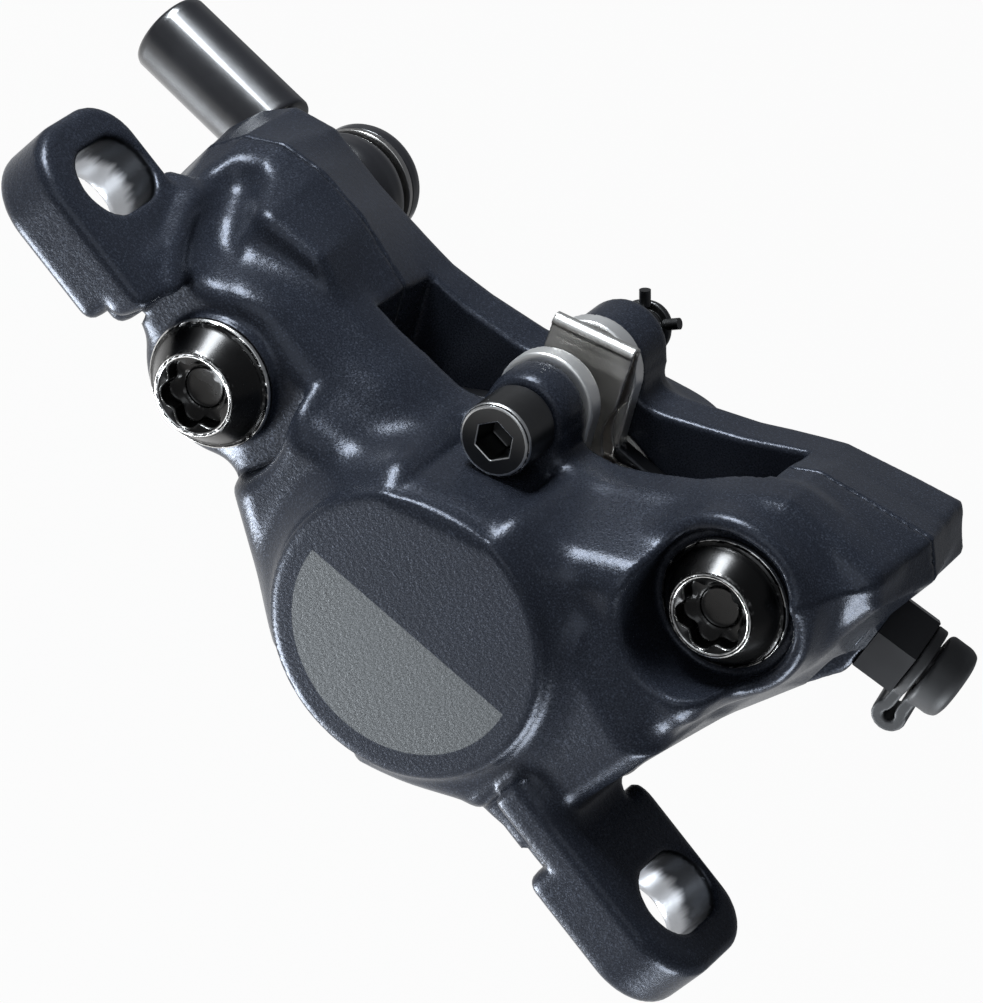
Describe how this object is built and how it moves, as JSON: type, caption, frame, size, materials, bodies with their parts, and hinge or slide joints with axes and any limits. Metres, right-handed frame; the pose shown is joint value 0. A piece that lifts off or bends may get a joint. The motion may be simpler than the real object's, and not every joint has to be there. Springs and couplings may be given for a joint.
{
  "type": "bicycle disc brake caliper",
  "caption": "Two-part bolted hydraulic brake caliper with slotted post-mount ears, opposed pistons, pads on a cross axle, swivelling hose fitting and capped bleed nipple",
  "frame": {"origin": "midway between the centres of the two mounting slots, on the mounting face under the ears", "axes": "+X along the line of the two slots towards the bleed nipple, +Y along the brake disc's axle towards the wheel, +Z away from the mounting posts"},
  "size_m": [0.091, 0.0449, 0.0505],
  "materials": {
    "body_paint": "satin metallic paint",
    "black_steel": "black plated steel",
    "stainless": "brushed",
    "piston_ceramic": "ground",
    "seal_rubber": "matte",
    "friction": "pressed resin",
    "fitting_black": "gloss black",
    "cap_rubber": "matte"
  },
  "bodies": {
    "caliper": {"outer_half": "body_paint", "inner_half": "body_paint", "left_body_bolt": "black_steel", "right_body_bolt": "black_steel", "banjo_bolt": "fitting_black", "banjo_washer_inner": "stainless", "banjo_washer_outer": "stainless", "outer_piston_seal": "seal_rubber", "inner_piston_seal": "seal_rubber", "crossover_oring": "seal_rubber", "pad_spring": "stainless", "axle_clip": "black_steel"},
    "outer_piston_body": {"outer_piston": "piston_ceramic"},
    "inner_piston_body": {"inner_piston": "piston_ceramic"},
    "outer_pad": {"outer_pad_plate": "stainless", "outer_pad_lining": "friction"},
    "inner_pad": {"inner_pad_plate": "stainless", "inner_pad_lining": "friction"},
    "axle": {"pad_axle": "black_steel"},
    "nipple": {"bleed_nipple": "black_steel"},
    "cap": {"bleed_cap": "cap_rubber"},
    "hose_end": {"banjo_fitting": "fitting_black", "hose_sleeve": "fitting_black"}
  },
  "joints": [
    {"name": "outer_piston_advance", "type": "slide", "parent": "caliper", "child": "outer_piston_body", "axis": [0, 1, 0], "range_m": [0, 0.001], "deforming": ["pad_spring"]},
    {"name": "inner_piston_advance", "type": "slide", "parent": "caliper", "child": "inner_piston_body", "axis": [0, -1, 0], "range_m": [0, 0.001]},
    {"name": "outer_pad_travel", "type": "slide", "parent": "caliper", "child": "outer_pad", "axis": [0, 1, 0], "range_m": [0, 0.001]},
    {"name": "inner_pad_travel", "type": "slide", "parent": "caliper", "child": "inner_pad", "axis": [0, -1, 0], "range_m": [0, 0.001]},
    {"name": "pad_axle_turn", "type": "hinge", "parent": "caliper", "child": "axle", "pos_m": [-0.00093, 0.014, 0.0192], "axis": [0, 1, 0], "continuous": true},
    {"name": "bleed_nipple_turn", "type": "hinge", "parent": "caliper", "child": "nipple", "pos_m": [0.03047, 0.0196, 0.02431], "axis": [0.9639, 0.1564, 0.2155], "range_deg": [0, 90]},
    {"name": "bleed_cap_pull", "type": "slide", "parent": "nipple", "child": "cap", "axis": [0.9639, 0.1564, 0.2155], "range_m": [0, 0.01]},
    {"name": "banjo_swivel", "type": "hinge", "parent": "caliper", "child": "hose_end", "pos_m": [-0.02563, 0.0291, 0.00226], "axis": [0, 1, 0], "range_deg": [-40, 50]}
  ],
  "couplings": [
    {"joint": "inner_piston_advance", "follows": "outer_piston_advance", "ratio": 1},
    {"joint": "outer_pad_travel", "follows": "outer_piston_advance", "ratio": 1},
    {"joint": "inner_pad_travel", "follows": "outer_piston_advance", "ratio": 1}
  ]
}
